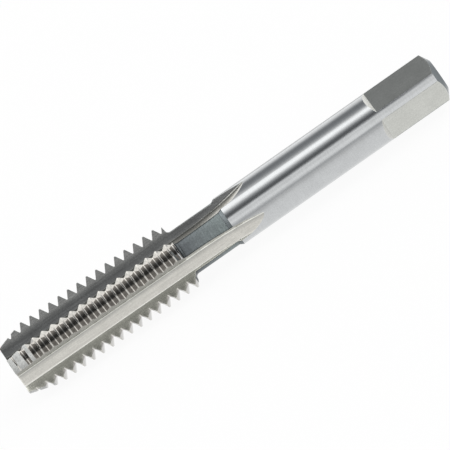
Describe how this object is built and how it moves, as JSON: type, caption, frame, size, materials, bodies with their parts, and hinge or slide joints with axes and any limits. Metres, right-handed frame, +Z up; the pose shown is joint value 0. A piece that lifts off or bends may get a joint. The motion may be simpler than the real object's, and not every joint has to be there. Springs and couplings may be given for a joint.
{
  "type": "thread tap",
  "caption": "Straight-fluted hand tap with a short tapered lead, cutting teeth on its lands, a relieved neck, a plain round shank and a driving square.",
  "frame": {"origin": "middle of the tap's overall length, straight below its axis, on the surface that it lies on", "axes": "+X along the tool's axis from the tip to the driving square, +Z up, with two lands down and two up"},
  "size_m": [0.0564, 0.007, 0.0071],
  "materials": {
    "ground_steel": "satin"
  },
  "bodies": {
    "root": {"thread_tap": "ground_steel"}
  },
  "joints": []
}
